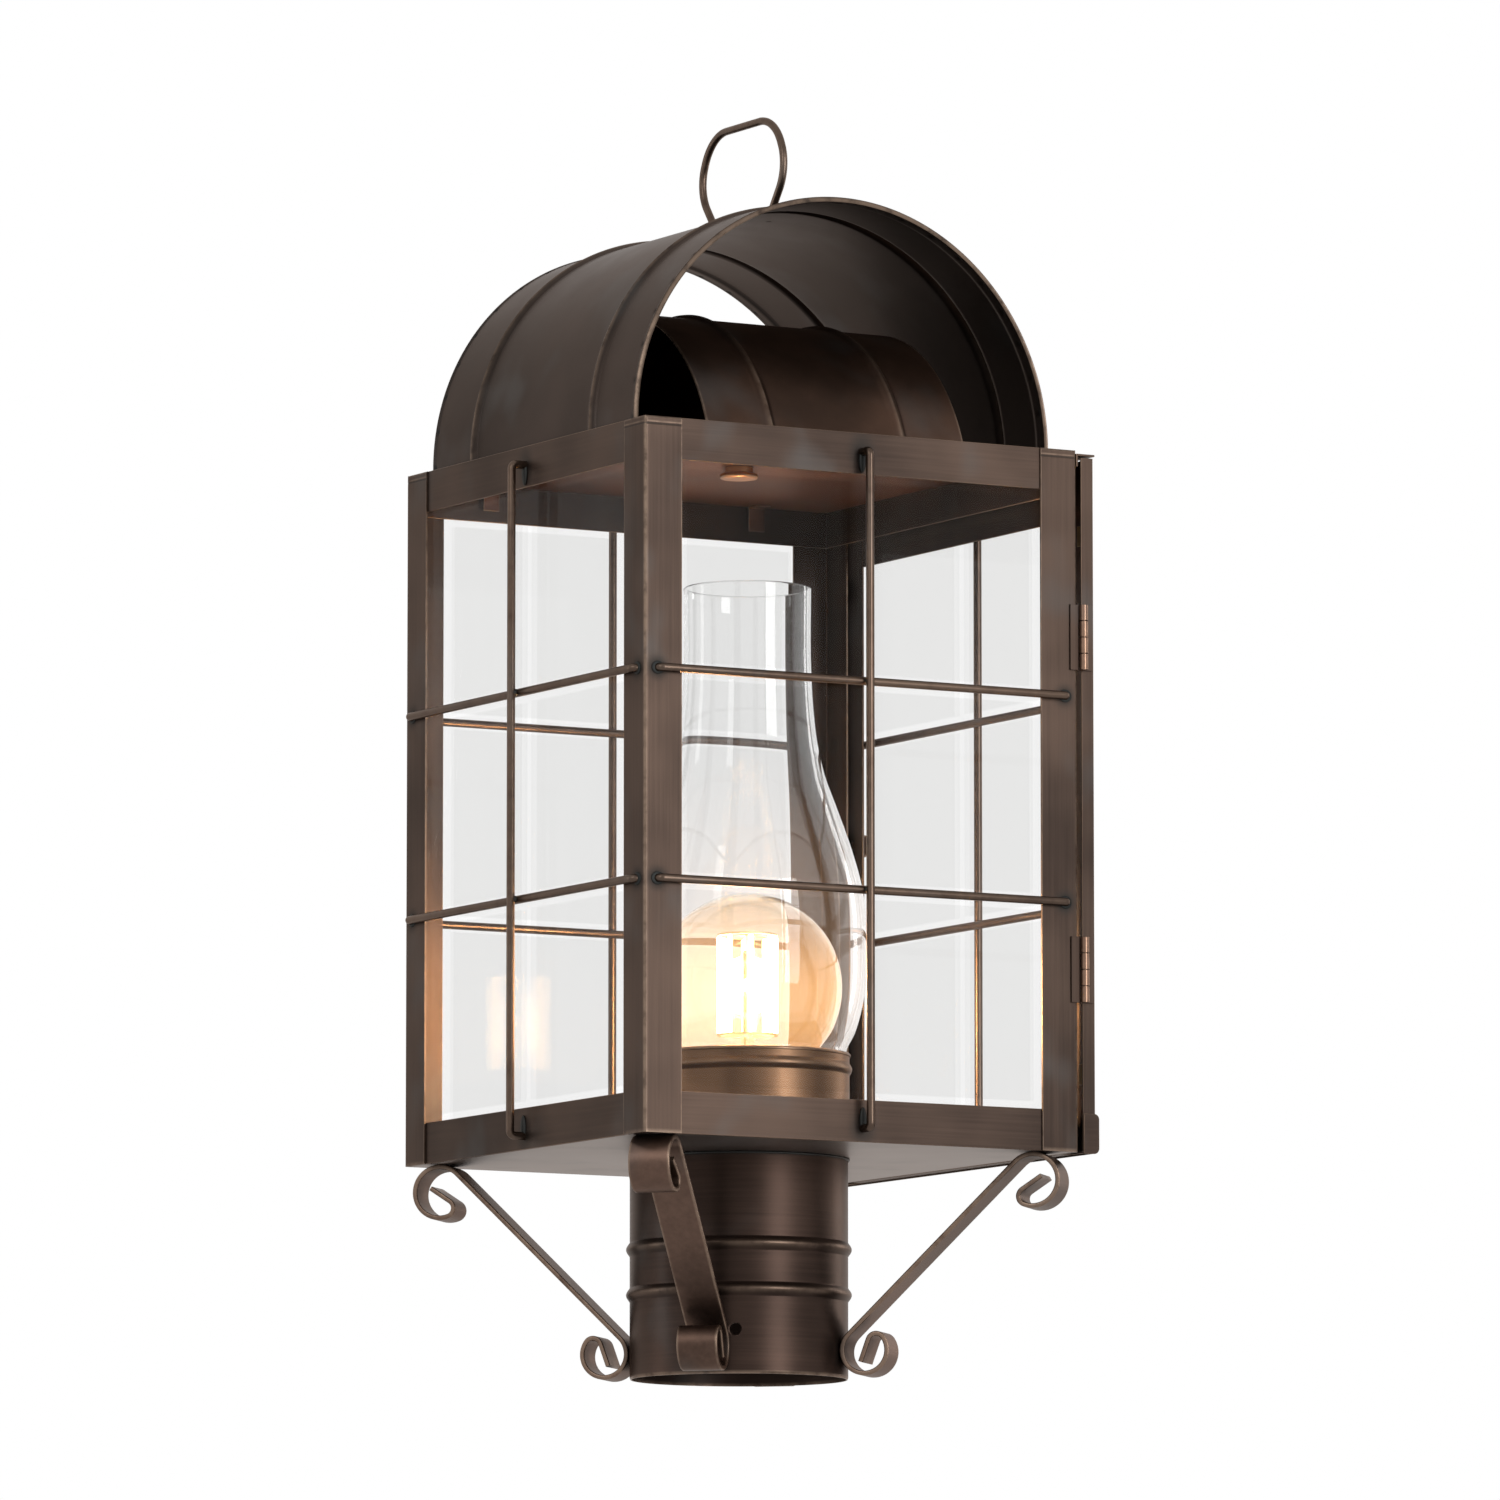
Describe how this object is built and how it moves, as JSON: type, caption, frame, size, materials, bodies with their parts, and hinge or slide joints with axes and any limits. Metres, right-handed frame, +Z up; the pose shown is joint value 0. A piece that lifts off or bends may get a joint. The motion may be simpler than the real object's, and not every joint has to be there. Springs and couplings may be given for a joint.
{
  "type": "post top lantern",
  "caption": "Square glazed post lantern with wire guards, hinged door, scrolled brackets on a round post fitter, glass chimney lamp and an open barrel roof with a carrying loop.",
  "frame": {"origin": "centre of the post fitter's lower rim", "axes": "+Z up, +X towards the hinged door, -Y towards the front"},
  "size_m": [0.2116, 0.2042, 0.4896],
  "materials": {
    "case_sheet": "dark antique bronze patina, brushed",
    "plate_sheet": "dark antique bronze patina, smooth",
    "fitter_sheet": "dark antique bronze patina, brushed round",
    "bracket_strip": "dark antique bronze patina with lighter edges",
    "roof_sheet": "dark antique bronze patina, brushed",
    "hood_sheet": "dark antique bronze patina, brushed",
    "gallery_sheet": "antique bronze patina, satin",
    "guard_wire": "dark antique bronze patina",
    "loop_wire": "dark antique bronze patina",
    "turned_brass": "antique bronze patina, satin",
    "hinge_brass": "worn antique bronze, satin",
    "raw_brass": "plain brass, dulled",
    "cap_brass": "bright brass",
    "contact_solder": "dull tinned metal",
    "porcelain": "glazed white",
    "socket_insulator": "matt",
    "black_glass": "opaque black glass",
    "window_glass": "clear, flat, polished",
    "chimney_glass": "clear, polished",
    "bulb_glass": "clear, polished",
    "filament": "glowing warm white",
    "filament_wire": "fine bright wire"
  },
  "bodies": {
    "case": {"corner_post_front_left": "case_sheet", "corner_post_front_right": "case_sheet", "corner_post_back_right": "case_sheet", "corner_post_back_left": "case_sheet", "bottom_rail_front": "case_sheet", "bottom_rail_right": "case_sheet", "bottom_rail_back": "case_sheet", "bottom_rail_left": "case_sheet", "top_rail_front": "case_sheet", "top_rail_right": "case_sheet", "top_rail_back": "case_sheet", "top_rail_left": "case_sheet", "base_plate": "plate_sheet", "ceiling_plate": "plate_sheet", "door_lip": "case_sheet", "ceiling_button": "turned_brass", "ceiling_nut": "raw_brass", "glass_front": "window_glass", "glass_back": "window_glass", "glass_left": "window_glass", "glass_clips": "raw_brass", "guard_wires_front": "guard_wire", "guard_wires_back": "guard_wire", "guard_wires_left": "guard_wire", "post_fitter": "fitter_sheet", "scroll_bracket_front_left": "bracket_strip", "scroll_bracket_front_right": "bracket_strip", "scroll_bracket_back_right": "bracket_strip", "scroll_bracket_back_left": "bracket_strip", "roof_vault": "roof_sheet", "vent_hood": "hood_sheet", "top_loop": "loop_wire", "chimney_gallery": "gallery_sheet", "lamp_nipple": "raw_brass", "nipple_washer": "raw_brass", "nipple_nut": "raw_brass", "socket_body": "porcelain", "contact_disc": "socket_insulator", "centre_contact": "raw_brass", "socket_shell": "raw_brass", "hinge_case_leaves": "hinge_brass", "hinge_pins": "hinge_brass", "door_catch": "raw_brass"},
    "door": {"door_stile_front": "case_sheet", "door_stile_back": "case_sheet", "door_rails": "case_sheet", "glass_door": "window_glass", "door_tabs": "raw_brass", "kick_strip": "case_sheet", "guard_wires_right": "guard_wire", "hinge_door_leaves": "hinge_brass", "door_knob": "turned_brass"},
    "chimney": {"glass_chimney": "chimney_glass"},
    "bulb": {"bulb_button": "contact_solder", "bulb_collar": "black_glass", "bulb_cap": "cap_brass", "bulb_globe": "bulb_glass", "bulb_stem": "bulb_glass", "bulb_filaments": "filament", "filament_wires": "filament_wire"}
  },
  "joints": [
    {"name": "door_hinge", "type": "hinge", "parent": "case", "child": "door", "pos_m": [0.09725, -0.09695, 0.21925], "axis": [0, 0, -1], "range_deg": [0, 120]},
    {"name": "chimney_lift", "type": "slide", "parent": "case", "child": "chimney", "axis": [0, 0, 1], "range_m": [0, 0.02]},
    {"name": "bulb_lift", "type": "slide", "parent": "case", "child": "bulb", "axis": [0, 0, 1], "range_m": [0, 0.022]}
  ]
}
